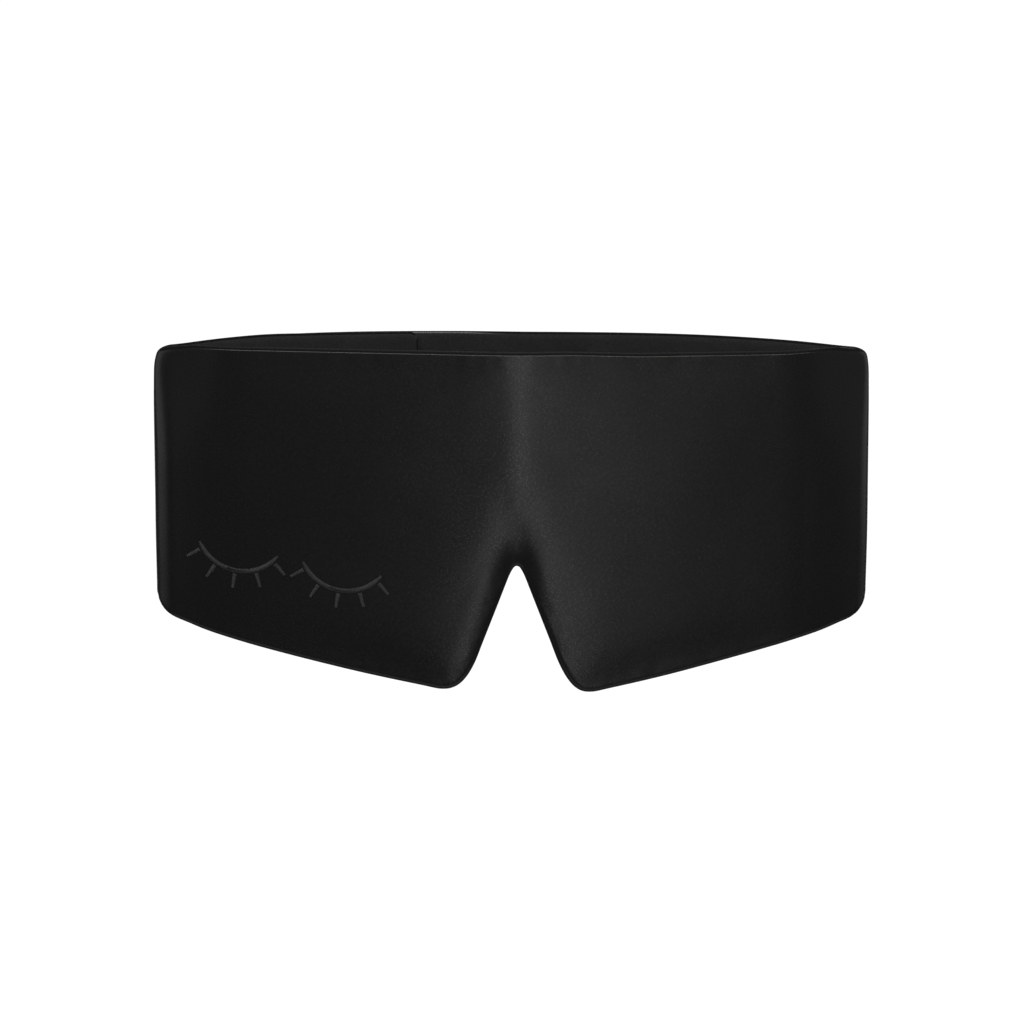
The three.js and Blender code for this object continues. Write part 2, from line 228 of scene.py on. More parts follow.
WIDEST = FOLD_X + FOLD_RADIUS
LOWER_EDGE = catmull(
    [
        (x * MM, z * MM)
        for x, z in (
            (0, -29.3), (0.7, -29.5), (1.35, -30.1), (2.15, -31.4), (3.3, -33.8), (6.25, -41.3),
            (9.45, -49.5), (12.7, -57.9), (15.9, -66.2), (19.2, -71.9), (23, -75.3), (28, -76.4),
            (36, -75), (60, -70.2), (90, -63.1), (112, -56.9), (122.2, -53.2), (127.2, -51.4),
            (130, -50), (131.7, -48.2), (132.4, -46.4), (WIDEST / MM, TEMPLE_BOTTOM / MM),
        )
    ]
)
LONGER = 1.2 * MM  # hand cutting leaves the right lobe this much longer than the left
LONGER_FROM = 15 * MM  # starting here beside the notch
LONGER_RAMP = 10 * MM
LONGER_FADE_FROM = 30 * MM
LONGER_FADE = 70 * MM
LONGER_LOST = 0.75  # the share of it that fades away towards the temple
LONGER_END = 8 * MM
WING_EDGE = bezier(
    [(WIDEST, TEMPLE_BOTTOM), (125 * MM, -34 * MM), (92 * MM, STRAP_BOTTOM - 1 * MM), (0, STRAP_BOTTOM)], 100
)[::-1]
TAB_CORNER = 14 * MM
LEFT_TIP_CORNER = 3 * MM
TAB_TAPER = 60 * MM  # the lower edge rises to the narrower tab over this length
TOP_CORNER = 0.5 * MM  # dip of the upper edge where the fabric rolls round a temple
TOP_CORNER_REACH = 6.5 * MM
FRONT_RISE = 1.0 * MM  # the front edge stands above the back one
FRONT_RISE_END = 4 * MM  # and comes down to it just in front of the temple
FRONT_RISE_RAMP = 14 * MM
SAG = 0.9 * MM  # the right half of the front edge sags by this much
SAG_FROM, SAG_TO = 15 * MM, 95 * MM
SAG_RAMP_IN, SAG_RAMP_OUT = 35 * MM, 30 * MM
LAP_RISE = 0.7 * MM  # the left wing stands this much above the tab that covers it
LAP_RISE_X = -95 * MM  # and as much again round this place
LAP_RISE_REACH = 18 * MM


def corner_drop(distance, radius):
    """How far an edge has curved away at this distance from the end of a rounded corner."""
    t = np.clip(1 - distance / radius, 0, 1)
    return radius * (1 - np.sqrt(np.maximum(1 - t * t, 0)))


def end_drop(s):
    """How far the edges have curved away at the rounded ends of the tab and the left wing."""
    size = np.abs(s)
    tab_end = corner_drop(S_TAB_END - size, TAB_CORNER)
    return np.where(s > 0, tab_end, corner_drop(S_LEFT_TIP - size, LEFT_TIP_CORNER))


def bottom(s):
    """Height of the lower edge."""
    s = np.asarray(s, float)
    size = np.abs(s)
    x = np.interp(size, PATH_S, UNEASED_X)
    face = np.interp(x, LOWER_EDGE[:, 0], LOWER_EDGE[:, 1])
    fade = smooth((x - LONGER_FROM) / LONGER_RAMP)
    fade = fade * (1 - LONGER_LOST * smooth((x - LONGER_FADE_FROM) / LONGER_FADE))
    face = face - LONGER * np.where(s > 0, fade, 0) * smooth((WIDEST - x) / LONGER_END)
    wing = np.interp(x, WING_EDGE[:, 0], WING_EDGE[:, 1])
    z = np.where(size < FOLD_MIDDLE, face, wing)
    tab = STRAP_BOTTOM + (TAB_BOTTOM - STRAP_BOTTOM) * smooth((-x + TAB_SPLIT_X) / TAB_TAPER)
    z = np.where((s > 0) & (x < 0), tab, z)
    return z + end_drop(s)


def top(s):
    """Height of the upper edge."""
    s = np.asarray(s, float)
    size = np.abs(s)
    z = np.full(s.shape, TOP)
    p, _ = along(s)
    z = z - TOP_CORNER * (1 - smooth(np.abs(size - FOLD_MIDDLE) / TOP_CORNER_REACH))
    z = z + LAP_RISE * lap(s) / LAP_DEPTH
    right = p[..., 0] * np.where(s < 0, -1, 1)
    sag = smooth((right - SAG_FROM) / SAG_RAMP_IN) * (1 - smooth((right - SAG_TO) / SAG_RAMP_OUT))
    z = z + FRONT_RISE * smooth((FOLD_MIDDLE - FRONT_RISE_END - size) / FRONT_RISE_RAMP)
    z = z - np.where(size < FOLD_MIDDLE, SAG * sag, 0)
    beside_tip = np.exp(-(((right - LAP_RISE_X) / LAP_RISE_REACH) ** 2))
    z = z + np.where((s < -S_WING), LAP_RISE * beside_tip, 0)
    return z - end_drop(s)


def lap(s):
    """How far the left wing has sunk below the outer surface."""
    p, _ = along(s)
    sunk = LAP_DEPTH * smooth((-p[..., 0] - LAP_START_X) / (LAP_FULL_X - LAP_START_X))
    return np.where((np.asarray(s) < 0) & (np.abs(s) > S_WING), sunk, 0)


def half_thickness(s):
    """Half the thickness of the padding."""
    size = np.abs(s)
    p, _ = along(s)
    to_temple = smooth((p[..., 0] - THINNING[0]) / (THINNING[1] - THINNING[0]))
    face = FACE_HALF + (TEMPLE_HALF - FACE_HALF) * to_temple
    to_tab = smooth((TO_TAB[0] - p[..., 0]) / TO_TAB[1])
    right = WING_HALF + (TAB_HALF - WING_HALF) * to_tab
    to_tip = smooth((TO_TIP[0] - p[..., 0]) / TO_TIP[1])
    left = WING_HALF + (TIP_HALF - WING_HALF) * to_tip
    return np.where(size < S_WING, face, np.where(np.asarray(s) > 0, right, left))


# ---- padded panels ----

EDGE_ROWS = 13
MIDDLE_ROWS = 46
OUTLINE = {}


def outline(side):
    """The edges of the right (1) or left (-1) half in the flat, with its sewn end, as one line of (s, z)."""
    if side not in OUTLINE:
        end = S_TAB_END if side > 0 else S_LEFT_TIP
        tight = end - TAB_CORNER * (1 - np.cos(np.linspace(0, math.pi / 2, 60)))
        s = np.concatenate([np.linspace(-60 * MM, end - TAB_CORNER, 900), tight[::-1][1:]])
        low = np.stack([s * side, bottom(np.abs(s) * side)], axis=1)
        high = np.stack([s * side, top(np.abs(s) * side)], axis=1)
        OUTLINE[side] = np.vstack([low, high[::-1]])
    return OUTLINE[side]


def distance_to(points, line):
    """Shortest distance from each (s, z) to a line of segments."""
    best = np.full(len(points), np.inf)
    for i in range(0, len(points), 1500):
        p = points[i : i + 1500]
        near = (line[:, 0] > p[:, 0].min() - 30 * MM) & (line[:, 0] < p[:, 0].max() + 30 * MM)
        keep = near[:-1] | near[1:]
        a, d = line[:-1][keep], np.diff(line, axis=0)[keep]
        length = np.maximum((d * d).sum(1), 1e-18)
        t = np.clip(((p[:, None, :] - a) * d).sum(2) / length, 0, 1)
        best[i : i + 1500] = np.linalg.norm(p[:, None, :] - (a + t[..., None] * d), axis=2).min(1)
    return best


def edge_distance(s, z):
    flat = np.stack([np.ravel(s), np.ravel(z)], axis=1)
    out = np.empty(len(flat))
    for side in (1, -1):
        mine = (flat[:, 0] >= 0) == (side > 0)
        if mine.any():
            out[mine] = distance_to(flat[mine], outline(side))
    return out.reshape(np.shape(s))


NOTCH_SIDE = 25 * MM
LOW_ROLL = 2.6 * MM
LOW_ROLL_NOTCH = {1: -0.6 * MM, -1: 1.8 * MM}  # changed by this at the notch, outside (1) and inside (-1)
HIGH_ROLL = {1: 1.1 * MM, -1: 1.6 * MM}
HIGH_ROLL_WING = 1.6 * MM  # wider by this behind the temples
WING_ROLL_FROM, WING_ROLL_RAMP = 108 * MM, 30 * MM
ROLL_CHANGE_Z, ROLL_CHANGE = 14 * MM, 20 * MM  # the lower roll gives way to the upper one from this height


def near_notch(s):
    """1 at the nose notch, falling to 0 on either side."""
    return np.exp(-((np.abs(s) / NOTCH_SIDE) ** 4))


def edge_roll(s, z, side):
    """Width of the rounded edge: broad along the bottom, and crisp along the top of the face, where the satin
    is turned over to the inside."""
    size = np.abs(s)
    low = LOW_ROLL + LOW_ROLL_NOTCH[side] * near_notch(s)
    high = HIGH_ROLL[side] + HIGH_ROLL_WING * smooth((size - WING_ROLL_FROM) / WING_ROLL_RAMP)
    return low + (high - low) * smooth((z - ROLL_CHANGE_Z) / ROLL_CHANGE)


def noise_field(points, size, seed):
    """Smooth noise between about -1 and 1 with features of this size."""
    flat = points.reshape(-1, 3) / size + seed
    return np.array([noise.noise(Vector(p)) for p in flat]).reshape(points.shape[:-1])


SWELL = {}  # what the cloth simulation adds: (first s, last s, {side: table})


def swell_at(s, share, side):
    total = np.zeros(np.shape(s))
    for s_from, s_to, tables in SWELL.values():
        low, high = min(s_from, s_to), max(s_from, s_to)
        inside = (s >= low - 1e-9) & (s <= high + 1e-9)
        if not inside.any():
            continue
        table = tables[side]
        along_s = (s[inside] - s_from) / (s_to - s_from)
        weights_s = spline_weights(along_s, table.shape[0])
        weights_t = spline_weights(share[inside], table.shape[1])
        total[inside] = ((weights_s @ table) * weights_t).sum(1)
    return total


def spline_weights(x, count):
    """Catmull-Rom weights from count even samples to the places x between 0 and 1."""
    x = np.clip(np.asarray(x, float), 0, 1) * (count - 1)
    i = np.minimum(x.astype(int), count - 2)
    t = x - i
    parts = [-t + 2 * t**2 - t**3, 2 - 5 * t**2 + 3 * t**3, t + 4 * t**2 - 3 * t**3, t**3 - t**2]
    parts = np.stack(parts, 1) / 2
    table = np.zeros((len(x), count))
    for k in range(4):
        np.add.at(table, (np.arange(len(x)), np.clip(i + k - 1, 0, count - 1)), parts[:, k])
    return table


ROLL_POWER = 2.6  # a little squarer than a half circle
CROWN = 0.45 * MM  # the padding is this much thicker away from its edges
CROWN_REACH = 15 * MM
PUCKER = 0.09 * MM  # along the edges
PUCKER_PLACE, PUCKER_REACH, PUCKER_SIZE = 3.2 * MM, 2.4 * MM, 5 * MM
UNEVEN = 0.12 * MM  # slow unevenness everywhere
UNEVEN_SIZE = 38 * MM
PINCH = 0.4  # the top of each temple roll is pressed together by this share
PINCH_FROM, PINCH_HEIGHT, PINCH_REACH = 5 * MM, 45 * MM, 15 * MM
NOTCH_SLANT = 0.55  # share of the thickness that is lost in a gentle slope towards the nose notch
SLANT_RIGHT_LESS = 0.45  # and this share less of it on the right
SLANT_CHANGE_S, SLANT_CHANGE = -3 * MM, 12 * MM
SLANT_TOP, SLANT_HEIGHT = 25 * MM, 35 * MM
SLANT_POWER = 2.2
NOTCH_REACH = 12 * MM
GROOVE = 0.7 * MM  # depth of the crease that runs up from the notch
GROOVE_WIDTH = 7.5 * MM
GROOVE_TOP, GROOVE_HEIGHT = 4 * MM, 26 * MM
CORNER_INSET = 4.0 * MM  # the upper corners of the temples lean inwards by these shares of this
CORNER_LEFT, CORNER_RIGHT = 0.92, 0.6
CORNER_REACH = 9 * MM
CORNER_WIDTH = 13 * MM
SKEW = 0.018  # the soft loop hangs a little lower on its right


def surface(s, share, side, lift=0.0, detail=True):
    """Points of the padded loop. share goes from the lower edge (0) to the upper (1), side is 1 outside and
    -1 inside, and lift is a distance off that side."""
    s, share = np.broadcast_arrays(np.asarray(s, float), np.asarray(share, float))
    p, n = along(s)
    low, high = bottom(s), top(s)
    z = low + (high - low) * share
    half = half_thickness(s)
    d = edge_distance(s, z)
    u = np.clip(1 - d / edge_roll(s, z, side), 0, 1)
    bulge = np.sqrt(np.maximum(1 - u**ROLL_POWER, 0))
    thin = np.clip(half / FACE_HALF, 0.25, 1)
    slant = 0
    if side > 0:
        one_sided = 1 - SLANT_RIGHT_LESS * smooth((s - SLANT_CHANGE_S) / SLANT_CHANGE)
        slant = NOTCH_SLANT * one_sided * near_notch(s) * smooth((SLANT_TOP - z) / SLANT_HEIGHT)
    gentle = 1 - (1 - np.clip(d / NOTCH_REACH, 0, 1)) ** SLANT_POWER
    grow = (half - CROWN * thin) * (bulge * (1 - slant) + gentle * slant)
    grow = grow + CROWN * thin * (1 - np.exp(-((d / CROWN_REACH) ** 2)))
    if detail:
        places = np.stack([s, z, np.full(s.shape, side * 0.05)], axis=-1)
        near_edge = np.exp(-(((d - PUCKER_PLACE) / PUCKER_REACH) ** 2))
        grow = grow + PUCKER * thin * noise_field(places, PUCKER_SIZE, 3.1) * near_edge
        grow = grow + UNEVEN * thin * noise_field(places, UNEVEN_SIZE, 8.7) * bulge
        grow = grow + swell_at(s.ravel(), share.ravel(), side).reshape(s.shape)
    if side > 0:
        grow = grow - GROOVE * np.exp(-((s / GROOVE_WIDTH) ** 2)) * smooth((GROOVE_TOP - z) / GROOVE_HEIGHT)
    grow = grow + lift * np.maximum(bulge, 0.2)
    depth = half + lap(s) - side * grow
    x = (p[..., 0] + n[..., 0] * depth) * np.where(s < 0, -1, 1)
    y = p[..., 1] + n[..., 1] * depth
    near_top = np.clip((z - TOP + CORNER_REACH) / CORNER_REACH, 0, 1)
    lean = CORNER_INSET * np.where(x > 0, CORNER_RIGHT, CORNER_LEFT)
    lean = lean * (1 - np.sqrt(np.maximum(1 - near_top**2, 0)))
    x = x - np.sign(x) * lean * np.exp(-(((WIDEST - np.abs(x)) / CORNER_WIDTH) ** 2))
    pinch = PINCH * smooth((z - PINCH_FROM) / PINCH_HEIGHT)
    pinch = pinch * np.exp(-(((WIDEST - np.abs(x)) / PINCH_REACH) ** 2))
    y = FOLD_Y + (y - FOLD_Y) * (1 - pinch)
    return np.stack([x, y, z - SKEW * x], axis=-1)


def row_shares(s, offset=0.0, middle=MIDDLE_ROWS, edge=EDGE_ROWS):
    """Rows from edge to edge at each s, close together on the rounded edges. offset leaves out a border."""
    s = np.asarray(s, float)
    height = top(s) - bottom(s)
    step = 0.2 * MM
    inner = np.where(s < 0, s + step, s - step)
    steep, steep_top = (
        np.sqrt(1 + np.clip(np.abs(line(s) - line(inner)) / step, 0, 3.2) ** 2) for line in (bottom, top)
    )
    low = np.minimum(edge_roll(s, bottom(s), -1) * steep / height, 0.3)
    high = np.minimum(edge_roll(s, top(s), -1) * steep_top / height, 0.3)
    turn = 1 - np.cos(np.linspace(0, math.pi / 2, edge))
    start = np.minimum(offset * steep / height, 0.25)
    finish = 1 - np.minimum(offset * steep_top / height, 0.25)
    left = start[:, None] + (low - start)[:, None].clip(0.002) * turn
    right = finish[:, None] - (finish - 1 + high)[:, None].clip(0.002) * turn[::-1]
    between = np.linspace(0, 1, middle + 2)[1:-1]
    rest = left[:, -1:] + (right[:, :1] - left[:, -1:]) * between
    return np.concatenate([left, rest, right], axis=1)


STEP, NOTCH_STEP, ROLL_STEP = 1.35, 0.6, 0.55  # millimetres between stations
NOTCH_STEPS_TO = 26 * MM


def stations(s_from, s_to, coarse=1.0, free=False, end_roll=TAB_CORNER):
    """Places along the path, closer in the notch and the temple roll, and towards a sewn end."""
    out = [s_from]
    stop = s_to - end_roll if free else s_to
    while True:
        s = out[-1]
        step = STEP
        if s < NOTCH_STEPS_TO:
            step = NOTCH_STEP
        elif S_FOLD - 2 * MM < s < S_WING + 2 * MM:
            step = ROLL_STEP
        if s + step * coarse * MM >= stop - 0.3 * MM:
            break
        out.append(s + step * coarse * MM)
    out.append(stop)
    if free:
        turn = np.sin(np.linspace(0, math.pi / 2, int(22 / coarse) + 2))[1:]
        out += list(stop + end_roll * turn)
    return np.array(out)


# ---- meshes ----

def new_mesh(name, verts, faces, cloth=None, sharp=()):
    mesh = bpy.data.meshes.new(name)
    mesh.from_pydata(np.asarray(verts).tolist(), [], faces)
    if cloth is not None:
        attribute = mesh.attributes.new("cloth", "FLOAT_VECTOR", "POINT")
        attribute.data.foreach_set("vector", np.asarray(cloth, np.float32).ravel())
    mesh.polygons.foreach_set("use_smooth", [True] * len(mesh.polygons))
    if len(sharp):
        wanted = {tuple(sorted(edge)) for edge in sharp}
        flags = [tuple(sorted(e.vertices)) in wanted for e in mesh.edges]
        mesh.attributes.new("sharp_edge", "BOOLEAN", "EDGE").data.foreach_set("value", flags)
    mesh.validate()
    mesh.update()
    piece = bpy.data.objects.new(name, mesh)
    bpy.context.scene.collection.objects.link(piece)
    return piece


def tube_of_rings(name, outer, inner, cloth, closed_ends=(), flip=False):
    """One closed body from an outer and an inner grid that share their first and last rows. closed_ends are
    the columns where both grids meet. The other ends get a flat cap."""
    columns, rows = outer.shape[:2]
    ring = np.concatenate([outer, inner[:, -2:0:-1]], axis=1)
    tags = np.concatenate([cloth, cloth[:, -2:0:-1]], axis=1)
    around = ring.shape[1]
    index = np.arange(columns * around).reshape(columns, around)
    for column in closed_ends:
        index[column, rows:] = index[column, rows - 2 : 0 : -1]
    a, b = index[:-1], index[1:]
    faces = np.stack([a, b, np.roll(b, -1, 1), np.roll(a, -1, 1)], axis=-1).reshape(-1, 4)
    caps, sharp = [], []
    for column, turned in ((0, False), (columns - 1, True)):
        if column in closed_ends or column - columns in closed_ends:
            continue
        line = index[column]
        outside, inside = line[:rows], np.concatenate([line[:1], line[:rows - 1:-1], line[rows - 1 : rows]])
        for k in range(rows - 1):
            face = [outside[k], outside[k + 1], inside[k + 1], inside[k]]
            face = [v for j, v in enumerate(face) if v not in face[:j]]
            caps.append(face[::-1] if turned else face)
        sharp += [(line[k], line[(k + 1) % around]) for k in range(around)]
    every = faces.tolist() + caps
    if flip:
        every = [face[::-1] for face in every]
    used = np.unique(np.concatenate([np.ravel(face) for face in every]))
    place = np.full(columns * around, -1)
    place[used] = np.arange(len(used))
    every = [[int(place[v]) for v in face] for face in every]
    sharp = [(int(place[u]), int(place[v])) for u, v in sharp]
    return new_mesh(name, ring.reshape(-1, 3)[used], every, tags.reshape(-1, 3)[used], sharp=sharp)


def cover(name, s, free=False):
    """The padded satin cover between the first and last s. A free one closes in a rounded end."""
    shares = row_shares(s)
    wide = np.broadcast_to(s[:, None], shares.shape)
    outer, inner = surface(wide, shares, 1), surface(wide, shares, -1)
    cloth = np.stack([wide, outer[..., 2], np.zeros(wide.shape)], axis=-1)
    piece = tube_of_rings(name, outer, inner, cloth, (-1,) if free else (), flip=s[-1] < s[0])
    return finish_piece(piece, SATIN)


def simulate(label, s_from, s_to, cap, free=False):
    """Blows up a coarse copy of a panel with its edges held, and keeps how far each place moved."""
    columns = int(abs(s_to - s_from) / (4.2 * MM)) + 2
    rows = 26
    s = np.linspace(s_from, s_to, columns)[:, None] + np.zeros(rows)
    if free:
        s[-1] -= math.copysign(1e-6, s_to)
    share = np.linspace(0, 1, rows) + np.zeros((columns, 1))
    outer, inner = surface(s, share, 1, detail=False), surface(s, share, -1, detail=False)
    pad = tube_of_rings("soft_test", outer, inner, np.zeros(outer.shape), flip=s_to < s_from)
    across = 2 * rows - 2
    held = pad.vertex_groups.new(name="held")
    places = [(i, j) for i in range(columns) for j in range(across)]
    pinned = [i * across + j for i, j in places if j in (0, rows - 1) or i in (0, columns - 1)]
    held.add(pinned, 1.0, "REPLACE")
    before = np.array([v.co for v in pad.data.vertices])
    normals = np.array([v.normal for v in pad.data.vertices])
    cloth = pad.modifiers.new("cloth", "CLOTH")
    settings = cloth.settings
    settings.quality = 4
    settings.mass = 0.3
    settings.tension_stiffness = settings.compression_stiffness = 20
    settings.bending_stiffness = 1.5
    settings.use_pressure = True
    settings.uniform_pressure_force = 4
    settings.effector_weights.gravity = 0
    settings.vertex_group_mass = "held"
    cloth.point_cache.frame_start, cloth.point_cache.frame_end = 1, 20
    for frame_number in range(1, 21):
        bpy.context.scene.frame_set(frame_number)
    posed = pad.evaluated_get(bpy.context.evaluated_depsgraph_get()).data
    after = np.array([v.co for v in posed.vertices])
    bpy.context.scene.frame_set(1)
    bpy.data.objects.remove(pad)
    out = np.maximum(((after - before) * normals).sum(1), 0)
    out = np.minimum(out, cap * 2.5).reshape(columns, across)
    out *= cap / max(out.max(), 1e-9)
    for _ in range(2):
        middle = out[1:-1, :]
        out[1:-1, :] = middle / 2 + (out[:-2, :] + out[2:, :]) / 4
    back = np.concatenate([out[:, :1], out[:, : rows - 1 : -1], out[:, rows - 1 : rows]], axis=1)
    SWELL[label] = (s_from, s_to, {1: out[:, :rows], -1: back})


# ---- materials ----

class Nodes:
    """Short names for making a material's nodes."""

    def __init__(self, name):
        self.material = bpy.data.materials.new(name)
        self.material.use_nodes = True
        self.tree = self.material.node_tree
        self.shader = self.tree.nodes["Principled BSDF"]

    def add(self, kind, **inputs):
        node = self.tree.nodes.new("ShaderNode" + kind)
        for key, value in inputs.items():
            name = key.replace("_", " ")
            if name in node.inputs and hasattr(value, "is_output"):
                self.tree.links.new(value, node.inputs[name])
            elif name in node.inputs:
                node.inputs[name].default_value = value
            else:
                setattr(node, key, value)
        return node

    def link(self, out, into):
        self.tree.links.new(out, into)

    def place(self, stretch=(1, 1, 1), attribute=False):
        """Coordinates in metres times stretch: the place on the cloth (attribute) or in space."""
        if attribute:
            source = self.add("Attribute", attribute_name="cloth").outputs["Vector"]
        else:
            source = self.add("TexCoord").outputs["Object"]
        return self.add("Mapping", Vector=source, Scale=stretch).outputs["Vector"]

    def noise(self, stretch, detail=2.0, roughness=0.5, attribute=False):
        vector = self.place(stretch, attribute)
        return self.add("TexNoise", Vector=vector, Scale=1.0, Detail=detail, Roughness=roughness).outputs["Fac"]

    def remap(self, value, low, high, to_low, to_high):
        node = self.add("MapRange", Value=value, From_Min=low, From_Max=high, To_Min=to_low, To_Max=to_high)
        return node.outputs["Result"]

    def math(self, operation, a, b):
        node = self.tree.nodes.new("ShaderNodeMath")
        node.operation = operation
        for socket, value in zip(node.inputs, (a, b)):
            if isinstance(value, (int, float)):
                socket.default_value = value
            else:
                self.link(value, socket)
        return node.outputs[0]

    def blend_colours(self, factor, first, second):
        node = self.tree.nodes.new("ShaderNodeMix")
        node.data_type = "RGBA"
        self.link(factor, node.inputs[0])
        for socket, value in ((node.inputs[6], first), (node.inputs[7], second)):
            if isinstance(value, tuple):
                socket.default_value = (*value, 1)
            else:
                self.link(value, socket)
        return node.outputs[2]

    def bump(self, height, strength, distance, normal=None):
        under = {} if normal is None else {"Normal": normal}
        return self.add("Bump", Height=height, Strength=strength, Distance=distance, **under).outputs["Normal"]

    def finish(self, colour, roughness, normal, specular, sheen, sheen_roughness=0.5):
        for out, name in ((colour, "Base Color"), (roughness, "Roughness"), (normal, "Normal")):
            self.link(out, self.shader.inputs[name])
        self.shader.inputs["Specular IOR Level"].default_value = specular
        self.shader.inputs["Sheen Weight"].default_value = sheen
        self.shader.inputs["Sheen Roughness"].default_value = sheen_roughness
        return self.material


def satin_cloth(name, dark, light, rough=(0.265, 0.295), sheen=0.07, specular=0.4, bump=0.12):
    """A smooth synthetic satin: fine threads along the mask, a soft speckle, and slow changes of shade."""
    n = Nodes(name)
    threads = n.noise((900, 2600, 900), 2.0, 0.6, attribute=True)
    speckle = n.noise((1900, 1900, 1900), 2.0, 0.65)
    slow = n.noise((22, 22, 22), 2.0, 0.5)
    grain = n.math("ADD", n.math("MULTIPLY", threads, 0.45), n.math("MULTIPLY", speckle, 0.55))
    tone = n.math("ADD", n.remap(grain, 0.32, 0.68, 0.0, 0.85), n.remap(slow, 0.3, 0.7, 0.0, 0.15))
    colour = n.blend_colours(tone, dark, light)
    roughness = n.remap(grain, 0.3, 0.7, rough[1], rough[0])
    normal = n.bump(slow, 0.25, 0.0012, n.bump(grain, bump, 0.0003))
    n.shader.inputs["Sheen Tint"].default_value = (0.62, 0.62, 0.6, 1)
    return n.finish(colour, roughness, normal, specular, sheen, 0.35)


def brushed_cloth(name, dark, light):
    """A matte brushed knit: short fibres over fine ribs."""
    n = Nodes(name)
    where = n.place((1, 1, 1), attribute=True)
    ribs = n.add("TexWave", Vector=where, Scale=420.0, Distortion=2.5, Detail=2.0, Detail_Scale=1.5)
    fibres = n.noise((1300, 1300, 1300), 3.0, 0.7)
    patches = n.noise((60, 60, 60), 2.0, 0.5)
    height = n.math("ADD", n.math("MULTIPLY", ribs.outputs["Fac"], 0.12), n.math("MULTIPLY", fibres, 0.88))
    tone = n.math("ADD", n.remap(height, 0.25, 0.75, 0.0, 0.75), n.remap(patches, 0.3, 0.7, 0.0, 0.25))
    roughness = n.remap(fibres, 0.3, 0.7, 0.95, 0.8)
    return n.finish(n.blend_colours(tone, dark, light), roughness, n.bump(height, 0.5, 0.0004), 0.2, 0.1)


def strand(name, dark, light, rough=0.32):
    """Polyester or nylon yarn: fine filaments with a soft gloss."""
    n = Nodes(name)
    twist = n.noise((2400, 2400, 5200), 2.0, 0.6)
    uneven = n.noise((140, 140, 140), 2.0, 0.5)
    tone = n.math("ADD", n.remap(twist, 0.3, 0.7, 0.0, 0.7), n.remap(uneven, 0.3, 0.7, 0.0, 0.3))
    roughness = n.remap(twist, 0.3, 0.7, rough + 0.12, rough)
    return n.finish(n.blend_colours(tone, dark, light), roughness, n.bump(twist, 0.3, 0.0001), 0.45, 0.1)


SATIN = satin_cloth("satin_microfibre", (0.0046, 0.0046, 0.0043), (0.0102, 0.0102, 0.0097))
LINING = brushed_cloth("brushed_lining", (0.0130, 0.0130, 0.0126), (0.0320, 0.0320, 0.0312))
TAPE = brushed_cloth("woven_tape", (0.0055, 0.0055, 0.0055), (0.0130, 0.0130, 0.0130))
THREAD = strand("embroidery_thread", (0.030, 0.030, 0.0295), (0.075, 0.075, 0.073))
NYLON = strand("nylon_hooks", (0.012, 0.012, 0.012), (0.028, 0.028, 0.028))
LABEL = satin_cloth("label_satin", (0.34, 0.34, 0.33), (0.50, 0.50, 0.48), (0.45, 0.6), 0.1, 0.4, 0.4)


# ---- padded covers ----

S_FACE_END = S_FOLD - 20.5 * MM  # the face cover and the two wing covers meet here, in front of the rolls

simulate("face", -S_FACE_END, S_FACE_END, 0.75 * MM)
simulate("right", S_FACE_END, S_SPLIT, 0.45 * MM)
simulate("left", -S_FACE_END, -S_LEFT_TIP, 0.4 * MM, free=True)


def both_ways(half):
    """The same places on both sides of the middle."""
    return np.concatenate([-half[:0:-1], half])


def bend_wing(piece):
    """Bakes the piece's placement into its mesh."""
    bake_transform(piece)


def bend_tab(piece):
    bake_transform(piece)


def finish_piece(piece, material):
    piece.data.materials.append(material)
    return piece


face = cover("face_cover", both_ways(stations(0, S_FACE_END)))
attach(face, "face_panel")
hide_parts("face_outer_fabric", "face_padding", "blackout_interlining")

right = cover("right_wing_cover", stations(S_FACE_END, S_SPLIT))
bend_wing(right)
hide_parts("right_wing_outer_fabric", "right_wing_padding", "right_temple_fold")

left_s = -stations(S_FACE_END, S_LEFT_TIP, free=True, end_roll=LEFT_TIP_CORNER)
left = cover("left_wing_cover", left_s, free=True)
bend_wing(left)
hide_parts("left_wing_outer_fabric", "left_wing_padding", "left_temple_fold")

tab = cover("tab_cover", stations(S_SPLIT, S_TAB_END, free=True), free=True)
bend_tab(tab)
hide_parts("tab_outer_fabric")


# ---- linings ----

SEAM = 0.7 * MM  # from the very edge to the seam where satin and lining meet, on the inner side
LINING_DEPTH = 0.25 * MM  # the lining reaches this far into the cover
RIM_ROWS = 3  # and its edge rises over this many rows


def lining(name, s, proud, free=False):
    """A lining laid on the inner side of a cover, up to the seam, with its edge turned under."""
    if free:
        span = abs(s[-1] - s[0])
        s = s[0] + (s - s[0]) * (span - SEAM) / span
    shares = row_shares(s, offset=SEAM, middle=44, edge=7)
    wide = np.broadcast_to(s[:, None], shares.shape)
    rows = shares.shape[1]
    ramp = rim(np.minimum(np.arange(rows), np.arange(rows)[::-1]) / RIM_ROWS) * np.ones(wide.shape)
    if free:
        ramp = ramp * rim(np.arange(len(s))[::-1, None] / RIM_ROWS)
    under = surface(wide, shares, -1, lift=-LINING_DEPTH)
    over = surface(wide, shares, -1, lift=(-LINING_DEPTH + (proud + LINING_DEPTH) * ramp))
    cloth = np.stack([wide, over[..., 2], np.ones(wide.shape)], axis=-1)
    piece = tube_of_rings(name, over, under, cloth, (-1,) if free else (), flip=s[-1] > s[0])
    span = abs(float(s[-1] - s[0]))
    return finish_piece(piece, LINING)


face_lining = lining("face_lining_cloth", both_ways(stations(0, S_FACE_END, coarse=1.5)), 0.3 * MM)
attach(face_lining, "face_panel")
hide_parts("face_lining")

right_lining = lining("right_wing_lining_cloth", stations(S_FACE_END, S_SPLIT, coarse=1.4), 0.3 * MM)
bend_wing(right_lining)
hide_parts("right_wing_lining")

